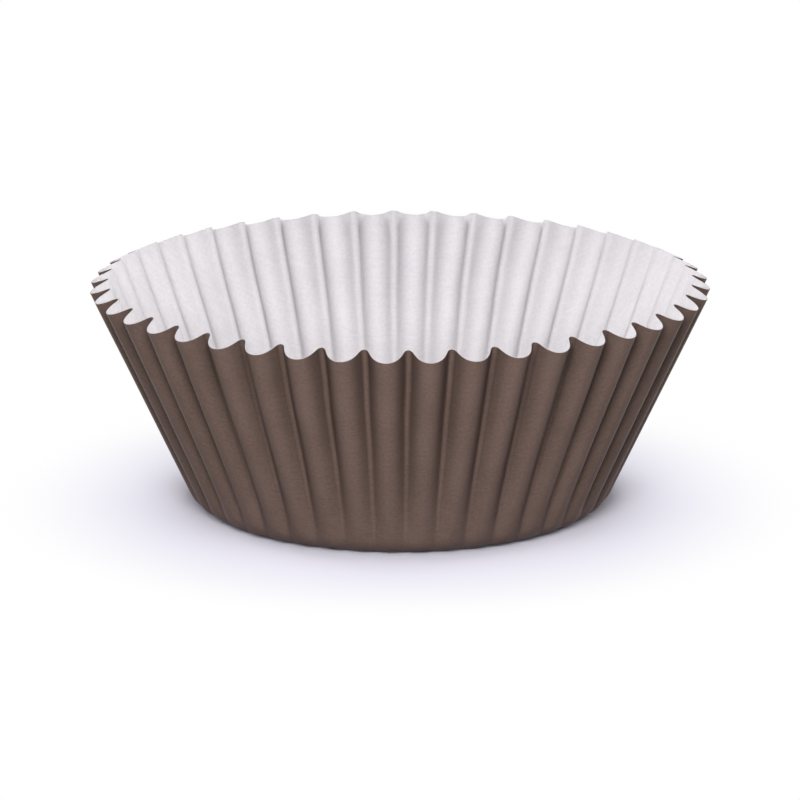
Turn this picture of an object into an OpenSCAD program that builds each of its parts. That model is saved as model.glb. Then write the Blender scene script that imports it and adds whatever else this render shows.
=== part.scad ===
// Fluted paper baking cup, standing on its flat base with the mouth upwards.
// A flat round of paper is pressed over a former: the base stays flat and the wall gathers
// into even flutes. Paper doesn't stretch, so each flute takes up exactly the length of paper
// that is left over where the wall is narrower than the flat round.
// Millimetres, +Z up, origin at the centre of the underside.

/* [Cup] */
// Diameter of the base, where the lines of the floor and the wall would meet
base_d = 50; // [44:0.5:56]
// Diameter of the mouth, over the ridges of the flutes
mouth_d = 75.5; // [70:0.5:84]
// Height of the ridges at the mouth; the valleys between them end a little higher
ridge_h = 27; // [24:0.5:34]
// Radius of the rounded corner between floor and wall
corner_r = 4; // [2:0.25:5]

/* [Flutes] */
// Number of flutes round the wall
flute_count = 44; // [32:1:45]
// Share of each flute that is its wide ridge; the rest is the narrow valley
ridge_share = 0.79; // [0.5:0.01:0.85]

/* [Paper] */
// Thickness of the paper
paper_t = 0.1; // [0.06:0.01:0.2]

/* [Hidden] */

paper_colour = "#6f5b53";

// Steps in half a flute: from the middle of the ridge to the flank, then on to the valley
ridge_steps = 4;
valley_steps = 2;
half_steps = ridge_steps + valley_steps;
flute_points = 2 * half_steps;
round_points = flute_count * flute_points;

// The ridge line in section: flat floor, corner arc, straight wall.
// It is measured by the distance s along the paper from the centre of the floor.
wall_slope = atan2(ridge_h, (mouth_d - base_d) / 2);
corner_len = corner_r * wall_slope * PI / 180;
floor_s = base_d / 2 - corner_r * tan(wall_slope / 2);
wall_s = floor_s + corner_len;
wall_len = (ridge_h - corner_r * (1 - cos(wall_slope))) / sin(wall_slope);

// Rings of points from the floor to the mouth. The plain ones have only the middle of each
// ridge and valley. The fluted ones start in the corner and are closest where the flutes open.
plain_stops = [for (part = [0, 1/3]) floor_s + corner_len * part];
fluted_stops = [floor_s + corner_len * 2/3, for (part = [0, 1/6, 1/2, 1]) wall_s + wall_len * part];

// Radius, height and slope of the ridge line at s
function ridge_line(s) =
    let (
        slope = min(max((s - floor_s) / corner_r * 180 / PI, 0), wall_slope),
        up = max(s - wall_s, 0)
    )
    [
        floor_s + corner_r * sin(slope) + up * cos(slope),
        corner_r * (1 - cos(slope)) + up * sin(slope),
        slope
    ];

// Bent paper tilts like a sine wave: it curves most at the crests and is straight on the flank.
// This is its width, as a share of its length, for a flank of the given tilt.
function bent_width(flank) = (cos(flank * sin(22.5)) + cos(flank * sin(67.5))) / 2;

// Tilt of the flank, in degrees, that gives the paper that width. It is found by halving.
function flank_tilt(width, low = 0, high = 120) =
    high - low < 0.001
    ? low
    : let (a = (low + high) / 2)
      bent_width(a) > width ? flank_tilt(width, a, high) : flank_tilt(width, low, a);

// Tilt of the paper at step i of half a flute, from the middle of the ridge to the valley's
function tilt_at(i, flank) =
    flank * sin(90 * (i <= ridge_steps ? i / ridge_steps : (half_steps - i) / valley_steps));

// How far the paper has gone across and inwards at step i, as shares of its length
function travel(i, flank) =
    i == 0
    ? [0, 0]
    : let (
        a = tilt_at(i - 0.5, flank),
        len = i <= ridge_steps ? ridge_share / ridge_steps : (1 - ridge_share) / valley_steps
      )
      travel(i - 1, flank) + len * [cos(a), sin(a)];

// The points round the cup at s, every stride steps, inset below the outer face
function ring(s, stride, inset) =
    let (
        line = ridge_line(s),
        r = line[0],
        slope = line[2],
        flank = flank_tilt(r / s),
        half_flute = [
            for (i = [0:half_steps])
                travel(i, flank) * PI * s / flute_count
                + inset * [-sin(tilt_at(i, flank)), cos(tilt_at(i, flank))]
        ]
    )
    [
        for (i = [0:stride:round_points - 1])
            let (
                ridge = round(i / flute_points),
                side = i < ridge * flute_points ? -1 : 1,
                point = half_flute[abs(i - ridge * flute_points)],
                turn = 360 * ridge / flute_count + side * point[0] / r * 180 / PI,
                point_r = r - point[1] * sin(slope)
            )
            [point_r * cos(turn), point_r * sin(turn), line[1] + point[1] * cos(slope)]
    ];

// One face of the paper: the centre point, then its rings from the floor to the mouth
function face_points(inset) = concat(
    [[0, 0, inset]],
    [for (s = plain_stops) each ring(s, half_steps, inset)],
    [for (s = fluted_stops) each ring(s, 1, inset)]
);

// Triangles between two rings. The upper ring has ratio times as many points as the lower.
// The quads of a flute's two halves are split as mirror images.
function band(low, low_count, high, ratio) = [
    for (i = [0:low_count - 1])
        let (
            next = (i + 1) % low_count,
            middle = ratio > 1 ? ratio / 2 : (i % flute_points < half_steps ? 1 : 0)
        )
        each [
            [low + i, high + (i * ratio + middle) % (low_count * ratio), low + next],
            for (j = [0:ratio - 1])
                let (k = i * ratio + j)
                [low + (j < middle ? i : next), high + k, high + (k + 1) % (low_count * ratio)]
        ]
];

module liner() {
    plain_count = 2 * flute_count;
    wall_start = 1 + len(plain_stops) * plain_count;
    face_count = wall_start + len(fluted_stops) * round_points;
    mouth_start = face_count - round_points;

    floor_fan = [for (i = [0:plain_count - 1]) [0, 1 + i, 1 + (i + 1) % plain_count]];
    plain_bands = [
        for (n = [0:len(plain_stops) - 1])
            let (low = 1 + n * plain_count)
            each band(low, plain_count, low + plain_count, n < len(plain_stops) - 1 ? 1 : half_steps)
    ];
    fluted_bands = [
        for (n = [0:len(fluted_stops) - 2])
            let (low = wall_start + n * round_points)
            each band(low, round_points, low + round_points, 1)
    ];
    outer_faces = concat(floor_fan, plain_bands, fluted_bands);
    inner_faces = [for (f = outer_faces) [for (k = [2:-1:0]) f[k] + face_count]];
    mouth_edge = band(mouth_start, round_points, mouth_start + face_count, 1);

    color(paper_colour)
        polyhedron(
            points = concat(face_points(0), face_points(paper_t)),
            faces = concat(outer_faces, inner_faces, mouth_edge)
        );
}

liner();
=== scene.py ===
import math

import bpy
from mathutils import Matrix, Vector


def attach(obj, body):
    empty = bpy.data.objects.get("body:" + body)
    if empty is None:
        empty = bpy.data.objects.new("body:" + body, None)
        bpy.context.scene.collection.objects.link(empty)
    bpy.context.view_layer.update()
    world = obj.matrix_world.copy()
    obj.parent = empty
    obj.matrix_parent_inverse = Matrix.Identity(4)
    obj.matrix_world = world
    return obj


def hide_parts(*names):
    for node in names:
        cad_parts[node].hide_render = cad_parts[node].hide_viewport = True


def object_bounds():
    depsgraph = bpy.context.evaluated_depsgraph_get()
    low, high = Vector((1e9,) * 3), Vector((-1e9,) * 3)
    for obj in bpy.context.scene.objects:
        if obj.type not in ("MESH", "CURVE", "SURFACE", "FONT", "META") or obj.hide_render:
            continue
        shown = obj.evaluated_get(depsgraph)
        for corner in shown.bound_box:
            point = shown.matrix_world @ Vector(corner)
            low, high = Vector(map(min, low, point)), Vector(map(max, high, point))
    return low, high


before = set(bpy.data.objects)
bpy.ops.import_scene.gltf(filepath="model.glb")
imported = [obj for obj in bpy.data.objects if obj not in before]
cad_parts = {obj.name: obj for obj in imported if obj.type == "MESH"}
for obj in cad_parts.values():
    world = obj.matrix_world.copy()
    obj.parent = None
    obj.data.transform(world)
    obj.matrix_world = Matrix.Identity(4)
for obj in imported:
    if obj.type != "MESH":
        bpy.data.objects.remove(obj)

cadLow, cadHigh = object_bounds()


class Wire:  # a node's output, which can be used in a sum like a number
    def __init__(self, net, socket):
        self.net, self.socket = net, socket

    def pick(self, output):  # another output of the same node
        return Wire(self.net, self.socket.node.outputs[output])

    def __add__(self, other):
        return self.net.math("ADD", self, other)

    def __sub__(self, other):
        return self.net.math("SUBTRACT", self, other)

    def __rsub__(self, other):
        return self.net.math("SUBTRACT", other, self)

    def __mul__(self, other):
        return self.net.math("MULTIPLY", self, other)

    def __truediv__(self, other):
        return self.net.math("DIVIDE", self, other)

    def __rtruediv__(self, other):
        return self.net.math("DIVIDE", other, self)

    def __pow__(self, other):
        return self.net.math("POWER", self, other)

    def __rpow__(self, other):
        return self.net.math("POWER", other, self)

    def __lt__(self, other):
        return self.net.math("LESS_THAN", self, other)

    def __gt__(self, other):
        return self.net.math("GREATER_THAN", self, other)

    def __abs__(self):
        return self.net.math("ABSOLUTE", self)

    __radd__, __rmul__ = __add__, __mul__


class Net:  # a node tree and the one method that adds nodes to it
    def __init__(self, tree):
        self.tree = tree
        tree.nodes.clear()

    def add(self, kind, settings=None, inputs=None):
        node = self.tree.nodes.new(kind)
        for name, value in (settings or {}).items():
            setattr(node, name, value)
        for key, value in (inputs or {}).items():
            if isinstance(value, Wire):
                self.tree.links.new(value.socket, node.inputs[key])
            else:
                node.inputs[key].default_value = value
        return Wire(self, node.outputs[0]) if node.outputs else node

    def math(self, operation, *values):
        return self.add("ShaderNodeMath", {"operation": operation}, dict(enumerate(values)))


def sin(wire):
    return wire.net.math("SINE", wire)


def cos(wire):
    return wire.net.math("COSINE", wire)


def wholePart(wire):
    return wire.net.math("FLOOR", wire)


def lowest(wire, other):
    return wire.net.math("MINIMUM", wire, other)


def highest(wire, other):
    return wire.net.math("MAXIMUM", wire, other)


def clamp(wire, low, high):
    return lowest(highest(wire, low), high)


def blend(low, high, share):  # low where share is 0, high where it is 1
    return low + (high - low) * share


def blendColour(net, low, high, share):
    mix = net.add("ShaderNodeMix", {"data_type": "RGBA"}, {0: share, 6: low, 7: high})
    return mix.pick(2)


def atTurn(net, radius, turn, height):  # the point that far from the axis, turned round it
    return net.add(
        "ShaderNodeCombineXYZ", {}, {0: radius * cos(turn), 1: radius * sin(turn), 2: height}
    )


# The paper: one sheet, brown outside and white inside. Its patterns lie on the flat sheet,
# before it is folded, so they follow every flute.
paper = {
    "brown": (0.141, 0.0945, 0.0775),
    "paleBrown": (0.179, 0.12, 0.1025),
    "white": (0.55, 0.53, 0.55),
    "paleWhite": (0.61, 0.59, 0.61),
    "cloudSize": 0.007,  # soft light and dark clouds of pulp
    "cloudStrength": 1.5,
    "grainSize": 0.00038,  # fine speckle
    "grainStrength": 2.0,
    "fibreLength": 0.0024,
    "fibreWidth": 0.00022,
    "fibreTurns": (0.5, 2.1),  # the two ways that the fibres lie, in radians
    "fibreStrength": 0.8,
    "noiseRoughness": 0.55,
    "grainHeight": 0.000012,
    "bumpStrength": 0.6,
    "steepShade": 0.62,  # painted shade: the steep sides of the flutes are painted darker than the pressed ridges
    "valleyShade": 0.15,  # painted shade too: the valleys are painted darker where the flutes are deep
    "roughness": 0.52,
    "insideRoughness": 0.1,  # added to the above inside, where the paper has no colour coat
    "grainRoughness": 0.15,
    "shine": 0.12,
}


def makePaper():
    material = bpy.data.materials.new("linerPaper")
    material.use_nodes = True
    net = Net(material.node_tree)
    sheet, inside, shade = (
        net.add("ShaderNodeAttribute", {"attribute_name": name}).pick(output)
        for name, output in (("sheet", "Vector"), ("inside", "Fac"), ("shade", "Fac"))
    )

    def noise(size, detail, stretch=(1, 1, 1), turn=0.0):  # from -0.5 to 0.5
        laid = net.add(
            "ShaderNodeMapping", {}, {"Vector": sheet, "Rotation": (0, 0, turn), "Scale": stretch}
        )
        waves = net.add(
            "ShaderNodeTexNoise",
            {},
            {
                "Vector": laid,
                "Scale": 1 / size,
                "Detail": detail,
                "Roughness": paper["noiseRoughness"],
            },
        )
        return waves - 0.5

    clouds = noise(paper["cloudSize"], 3)
    grain = noise(paper["grainSize"], 2)
    thin = (1, paper["fibreLength"] / paper["fibreWidth"], 1)
    fibres, crossFibres = (
        noise(paper["fibreLength"], 2, thin, turn) for turn in paper["fibreTurns"]
    )
    streaks = fibres + crossFibres
    speckle = grain * paper["grainStrength"] + clouds * paper["cloudStrength"]
    tone = clamp(speckle + streaks * paper["fibreStrength"] + 0.5, 0.0, 1.0)

    def tones(dark, pale):
        return blendColour(net, (*dark, 1), (*pale, 1), tone)

    # Painted shade: the brown is mixed towards black on the steep sides and in the valleys of the
    # flutes
    brown = blendColour(net, tones(paper["brown"], paper["paleBrown"]), (0, 0, 0, 1), shade)
    white = tones(paper["white"], paper["paleWhite"])
    rough = paper["roughness"] + grain * paper["grainRoughness"] + inside * paper["insideRoughness"]
    bump = net.add(
        "ShaderNodeBump",
        {},
        {
            "Strength": paper["bumpStrength"],
            "Distance": paper["grainHeight"],
            "Height": grain + streaks,
        },
    )
    shader = net.add(
        "ShaderNodeBsdfPrincipled",
        {},
        {
            "Base Color": blendColour(net, brown, white, inside),
            "Roughness": rough,
            "Specular IOR Level": paper["shine"],
            "Normal": bump,
        },
    )
    net.add("ShaderNodeOutputMaterial", {}, {"Surface": shader})
    return material


# The liner. The sheet is a grid of rings round the axis. It runs from the middle of the
# underside up the outside to the mouth, over the cut edge and down the inside to the floor.
liner = {
    "Flutes": 44,
    "Base radius": 0.025,
    "Mouth radius": cadHigh.x,
    "Ridge height": 0.027,
    "Corner radius": 0.004,
    "Ridge share": 0.79,
    "Thickness": 0.0001,
    "Unevenness": 0.00022,
    "Seed": 5.0,
}
mesh = {
    "stepsPerFlute": 24,
    "floorRings": 5,
    "cornerRings": 6,
    "wallRings": 18,
    "unevenSize": 0.016,  # from one bump of the uneven wall to the next
    "unevenDetail": 1.0,
    "unevenSideways": 4,  # the flutes wander more sideways than they do inwards or down
    "insideApart": 0.1,  # so that the inside doesn't repeat the outside's pattern
    "leastGather": 1.0001,  # paper to way round, where the sheet is still flat
    "tiny": 0.000001,  # radius of the innermost ring
    "weld": 0.00001,  # points closer than this become one
    "sharpAngle": 50,  # in degrees: only the cut edge of the mouth is sharper
}


# Which ring and which column of the grid a point is on. Both faces of the paper count their
# rings from the middle of the floor.
def gridPlace(net, flutes):
    lastRing = mesh["floorRings"] + mesh["cornerRings"] + mesh["wallRings"]
    rows = 2 * (lastRing + 1)
    columns = flutes * mesh["stepsPerFlute"]
    grid = net.add("GeometryNodeMeshGrid", {}, {"Vertices X": columns + 1, "Vertices Y": rows})
    index = net.add("GeometryNodeInputIndex")
    column = wholePart((index + 0.5) / rows)
    row = index - column * rows
    inside = row > lastRing + 0.5
    ring = row + inside * (rows - 1 - 2 * row)

    # Towards the middle of the floor, neighbouring columns meet, so that its faces stay even
    onFloor = ring < mesh["floorRings"] - 0.5
    step = 2 ** (onFloor * (mesh["floorRings"] + 1 - ring))
    column = wholePart((column + 0.5) / step) * step
    return grid, ring, column, columns, inside


# The section along a ridge: flat floor, corner arc, straight wall. A ring has its place in it
# by the distance along the paper from the middle of the floor.
def ridgeLine(net, ring, baseRadius, mouthRadius, ridgeHeight, cornerRadius):
    wallSlope = net.math("ARCTAN2", ridgeHeight, mouthRadius - baseRadius)
    cornerCut = cornerRadius * net.math("TANGENT", wallSlope / 2)
    cornerLength = cornerRadius * wallSlope
    floorEnd = baseRadius - cornerCut
    wallStart = floorEnd + cornerLength
    wallLength = (ridgeHeight - cornerCut * sin(wallSlope)) / sin(wallSlope)

    pastFloor = ring - mesh["floorRings"]
    pastCorner = pastFloor - mesh["cornerRings"]
    along = (
        lowest(ring / mesh["floorRings"], 1.0) * floorEnd
        + clamp(pastFloor / mesh["cornerRings"], 0.0, 1.0) * cornerLength
        + highest(pastCorner / mesh["wallRings"], 0.0) * wallLength
    )
    slope = clamp(along - floorEnd, 0.0, cornerLength) / cornerRadius
    upWall = highest(along - wallStart, 0.0)
    radius = lowest(along, floorEnd) + cornerRadius * sin(slope) + upWall * cos(wallSlope)
    height = cornerRadius * (1 - cos(slope)) + upWall * sin(wallSlope)
    return along, slope, upWall, wallLength, highest(radius, mesh["tiny"]), height


# The paper of a flute is longer than its way round, and the flute takes it up. Bent paper
# tilts like a sine wave: its curve is strongest at the crest and straight on the flank.
# The mean cosine of that tilt has to be way / paper, which gives the flank's tilt. That mean,
# and how far the paper goes sideways and inwards, are Bessel functions. They are worked out
# here by their series, in half the flank's tilt.
def bendPaper(net, column, along, radius, flutes, ridgeShare):
    excess = 1 - radius / highest(along, radius * mesh["leastGather"])
    half = (excess * (1 + excess * (0.25 + excess * (0.0972 + 0.0451 * excess)))) ** 0.5
    tilt = 2 * half
    square = half * half
    bend1 = half * (1 - square / 2 + square * square / 12)
    bend2 = square / 2 * (1 - square / 3 + square * square / 24)
    bend3 = half * square / 6 * (1 - square / 4)
    bend4 = square * square / 24

    # A flute is a wide ridge and a narrow valley that meet at the flank, both the same curve
    place = column / mesh["stepsPerFlute"]
    ridge = wholePart(place + 0.5)
    offset = place - ridge
    way = abs(offset) * 2
    onRidge = way < ridgeShare
    turn = lowest(way / ridgeShare, (1 - way) / (1 - ridgeShare)) * (math.pi / 2)
    halfPitch = math.pi * radius / flutes
    paperLength = halfPitch / (1 - excess)
    size = paperLength * blend(1 - ridgeShare, ridgeShare, onRidge)
    sideways = size * (2 / math.pi) * (
        turn * (1 - excess) + bend2 * sin(turn * 2) + bend4 / 2 * sin(turn * 4)
    )
    inwards = size * (4 / math.pi) * (
        bend1 * (1 - cos(turn)) + bend3 / 3 * (1 - cos(turn * 3))
    )
    depth = paperLength * (4 / math.pi) * (bend1 + bend3 / 3)
    across = blend(halfPitch - sideways, sideways, onRidge)
    out = blend(inwards - depth, 0 - inwards, onRidge)
    lean = tilt * sin(turn)
    # Painted shade: the steep sides and the valleys of the flutes are painted darker, in the colour
    shade = (1 - cos(lean)) * paper["steepShade"] + (1 - onRidge) * tilt * paper["valleyShade"]
    middle = ridge / flutes * (2 * math.pi)
    side = net.math("SIGN", offset)
    return middle, side, across, out, lean, shade


def makeLinerTree(material):
    tree = bpy.data.node_groups.new("flutedPaper", "GeometryNodeTree")
    net = Net(tree)
    for name in liner:
        tree.interface.new_socket(name, in_out="INPUT", socket_type="NodeSocketFloat")
    tree.interface.new_socket("Geometry", in_out="OUTPUT", socket_type="NodeSocketGeometry")
    given = net.add("NodeGroupInput")
    flutes, baseRadius, mouthRadius, ridgeHeight, cornerRadius = (
        given.pick(name)
        for name in ("Flutes", "Base radius", "Mouth radius", "Ridge height", "Corner radius")
    )
    ridgeShare, thickness, unevenness, seed = (
        given.pick(name) for name in ("Ridge share", "Thickness", "Unevenness", "Seed")
    )

    grid, ring, column, columns, inside = gridPlace(net, flutes)
    along, slope, upWall, wallLength, lineRadius, lineHeight = ridgeLine(
        net, ring, baseRadius, mouthRadius, ridgeHeight, cornerRadius
    )
    middle, side, across, out, lean, shade = bendPaper(
        net, column, along, lineRadius, flutes, ridgeShare
    )
    inset = thickness * inside
    across = across - inset * sin(lean)
    out = out - inset * cos(lean)
    around = middle + side * across / lineRadius
    radius = lineRadius + out * sin(slope)
    height = lineHeight - out * cos(slope)

    # Small differences between the flutes, which fade out at the floor. They only go inwards
    # and down, so that the mouth keeps its size.
    waves = net.add(
        "ShaderNodeTexNoise",
        {"noise_dimensions": "4D"},
        {
            "Vector": atTurn(net, radius, around, height),
            "W": seed,
            "Scale": 1 / mesh["unevenSize"],
            "Detail": mesh["unevenDetail"],
        },
    )
    wander = net.add("ShaderNodeSeparateXYZ", {}, {0: waves.pick("Color")})
    sway = unevenness * upWall / wallLength
    around = around + (wander - 0.5) * mesh["unevenSideways"] * sway / lineRadius
    radius = radius - wander.pick(1) * sway
    height = height - wander.pick(2) * sway

    made = net.add(
        "GeometryNodeSetPosition",
        {},
        {"Geometry": grid, "Position": atTurn(net, radius, around, height)},
    )
    sheetTurn = column / columns * (2 * math.pi)
    sheet = atTurn(net, along, sheetTurn, inside * mesh["insideApart"])
    for name, kind, value in (
        ("sheet", "FLOAT_VECTOR", sheet),
        ("inside", "FLOAT", inside),
        ("shade", "FLOAT", shade),
    ):
        made = net.add(
            "GeometryNodeStoreNamedAttribute",
            {"data_type": kind, "domain": "POINT"},
            {"Geometry": made, "Name": name, "Value": value},
        )
    for kind, inputs in (
        ("GeometryNodeMergeByDistance", {"Distance": mesh["weld"]}),
        ("GeometryNodeSetShadeSmooth", {}),
        ("GeometryNodeRealizeInstances", {}),
        ("GeometryNodeSetMaterial", {"Material": material}),
    ):
        made = net.add(kind, {}, {"Geometry": made, **inputs})
    net.add("NodeGroupOutput", {}, {"Geometry": made})
    return tree


def makeLiner():
    tree = makeLinerTree(makePaper())
    piece = bpy.data.objects.new("paper_liner", bpy.data.meshes.new("flat"))
    bpy.context.scene.collection.objects.link(piece)
    shape = piece.modifiers.new("flutes", "NODES")
    shape.node_group = tree
    for socket in tree.interface.items_tree:
        if socket.in_out == "INPUT":
            shape[socket.identifier] = float(liner[socket.name])
    depsgraph = bpy.context.evaluated_depsgraph_get()
    made = bpy.data.meshes.new_from_object(piece.evaluated_get(depsgraph), depsgraph=depsgraph)
    piece.modifiers.remove(shape)
    piece.data = made
    made.set_sharp_from_angle(angle=math.radians(mesh["sharpAngle"]))
    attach(piece, "root")
    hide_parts("liner")
    print("liner:", len(made.vertices), "points,", len(made.polygons), "faces")


# The studio: a pale floor, soft lamps and an even white room. The camera sees the lit floor,
# with its shadows, only near the liner: from shadeRadius outwards it turns white. Near the
# liner that white is dimmed to a pale lilac, a painted shadow, and the lit floor is dimmer than
# the white it fades into, which paints a shade round the liner as well. The liner
# gets a dimmer light from the floor, so that its flutes keep their shade.
studio = {
    "floorSize": 6.0,
    "floorTop": -0.00002,  # just clear of the underside
    "floorColour": (0.77, 0.755, 0.85),
    "shadeRadius": 0.026,
    "shadeLength": 0.006,
    "paintedShadowWhite": (0.84, 0.825, 0.925),  # painted shadow: the white is dimmed to this pale lilac up to whiteFrom
    "farWhite": (1, 1, 1),
    "whiteFrom": 0.026,
    "whiteTo": 0.05,
    "nearBounce": (0.13, 0.127, 0.131),  # the floor's colour, as it lights the liner
    "farBounce": (0.08, 0.08, 0.084),
    "bounceFrom": 0.026,
    "bounceTo": 0.034,
    "roomLight": 0.05,
}
lamps = {  # place and size in metres, power in watts
    "front": {"place": (0.0, -0.265, 0.13), "size": 0.12, "power": 0.905},
    "left": {"place": (-0.7, 0.6, 0.15), "size": 0.4, "power": 7.5},
    "right": {"place": (0.7, 0.6, 0.15), "size": 0.4, "power": 6.0},
    "back": {"place": (0.0, 0.95, 0.2), "size": 0.5, "power": 2.6},
    "topFront": {"place": (0.0, -0.42, 0.9), "size": 0.5, "power": 3.0},
    "topBack": {"place": (0.0, 0.5, 0.85), "size": 0.5, "power": 3.0},
}


def seenByCamera(net):  # 1 for rays that show the background
    rays = net.add("ShaderNodeLightPath")
    return highest(
        rays.pick("Is Camera Ray"),
        highest(rays.pick("Is Glossy Ray"), rays.pick("Is Transmission Ray")),
    )


def makeRoom():
    world = bpy.data.worlds.new("room")
    world.use_nodes = True
    bpy.context.scene.world = world
    net = Net(world.node_tree)
    light = net.add(
        "ShaderNodeBackground",
        {},
        {"Color": (1, 1, 1, 1), "Strength": blend(studio["roomLight"], 1.0, seenByCamera(net))},
    )
    net.add("ShaderNodeOutputWorld", {}, {"Surface": light})


def makeFloor():
    half, top = studio["floorSize"] / 2, studio["floorTop"]
    corners = [(-half, -half, top), (half, -half, top), (half, half, top), (-half, half, top)]
    data = bpy.data.meshes.new("floor")
    data.from_pydata(corners, [], [(0, 1, 2, 3)])
    ground = bpy.data.objects.new("floor", data)
    bpy.context.scene.collection.objects.link(ground)
    material = bpy.data.materials.new("floor")
    material.use_nodes = True
    net = Net(material.node_tree)
    spot = net.add("ShaderNodeTexCoord").pick("Object")
    distance = net.add("ShaderNodeVectorMath", {"operation": "LENGTH"}, {0: spot}).pick("Value")

    def fade(start, end, near, far):  # from one colour to another, away from the liner
        share = net.add(
            "ShaderNodeMapRange",
            {"interpolation_type": "SMOOTHSTEP"},
            {"Value": distance, "From Min": studio[start], "From Max": studio[end]},
        )
        return blendColour(net, (*studio[near], 1), (*studio[far], 1), share)

    # Painted shadow: the white is dimmed to pale lilac near the liner
    paintedShadowTint = fade("whiteFrom", "whiteTo", "paintedShadowWhite", "farWhite")
    glow = fade("bounceFrom", "bounceTo", "nearBounce", "farBounce")
    pale = net.add("ShaderNodeBsdfDiffuse", {}, {"Color": (*studio["floorColour"], 1)})
    white = net.add("ShaderNodeEmission", {}, {"Color": paintedShadowTint, "Strength": 1.0})
    bounce = net.add("ShaderNodeBsdfDiffuse", {}, {"Color": glow})
    # Real shadow and painted shade: the lit floor near the liner is dimmer than the white it fades
    # into, so the floor is darker round the liner
    pastShade = highest(distance - studio["shadeRadius"], 0.0)
    whiteShare = 1 - math.e ** (pastShade / -studio["shadeLength"])
    shown = net.add("ShaderNodeMixShader", {}, {0: whiteShare, 1: pale, 2: white})
    shader = net.add("ShaderNodeMixShader", {}, {0: seenByCamera(net), 1: bounce, 2: shown})
    net.add("ShaderNodeOutputMaterial", {}, {"Surface": shader})
    data.materials.append(material)


def standFacing(thing, place, aim):
    thing.location = place
    thing.rotation_euler = (Vector(aim) - Vector(place)).to_track_quat("-Z", "Y").to_euler()
    bpy.context.scene.collection.objects.link(thing)


def makeLamps():
    for name, lamp in lamps.items():
        data = bpy.data.lights.new(name, "AREA")
        data.size = lamp["size"]
        data.energy = lamp["power"]
        standFacing(bpy.data.objects.new(name, data), lamp["place"], (0, 0, 0))


camera = {
    "azimuth": 2.6,
    "elevation": 15.0,
    "distance": 0.7,
    "aim": (0.0, 0.0, 0.0125),
    "widthInView": 0.0976,  # metres across the picture at the liner
    "sensor": 36.0,
}


def makeCamera():
    data = bpy.data.cameras.new("camera")
    data.sensor_width = camera["sensor"]
    data.lens = camera["sensor"] * camera["distance"] / camera["widthInView"]
    eye = bpy.data.objects.new("camera", data)
    azimuth, elevation = math.radians(camera["azimuth"]), math.radians(camera["elevation"])
    back = Vector(
        (
            math.sin(azimuth) * math.cos(elevation),
            -math.cos(azimuth) * math.cos(elevation),
            math.sin(elevation),
        )
    )
    standFacing(eye, Vector(camera["aim"]) + back * camera["distance"], camera["aim"])
    bpy.context.scene.camera = eye


bpy.context.scene.view_settings.view_transform = "Standard"
makeCamera()
makeRoom()
makeFloor()
makeLamps()
print("studio: floor, room and", len(lamps), "lamps")
makeLiner()
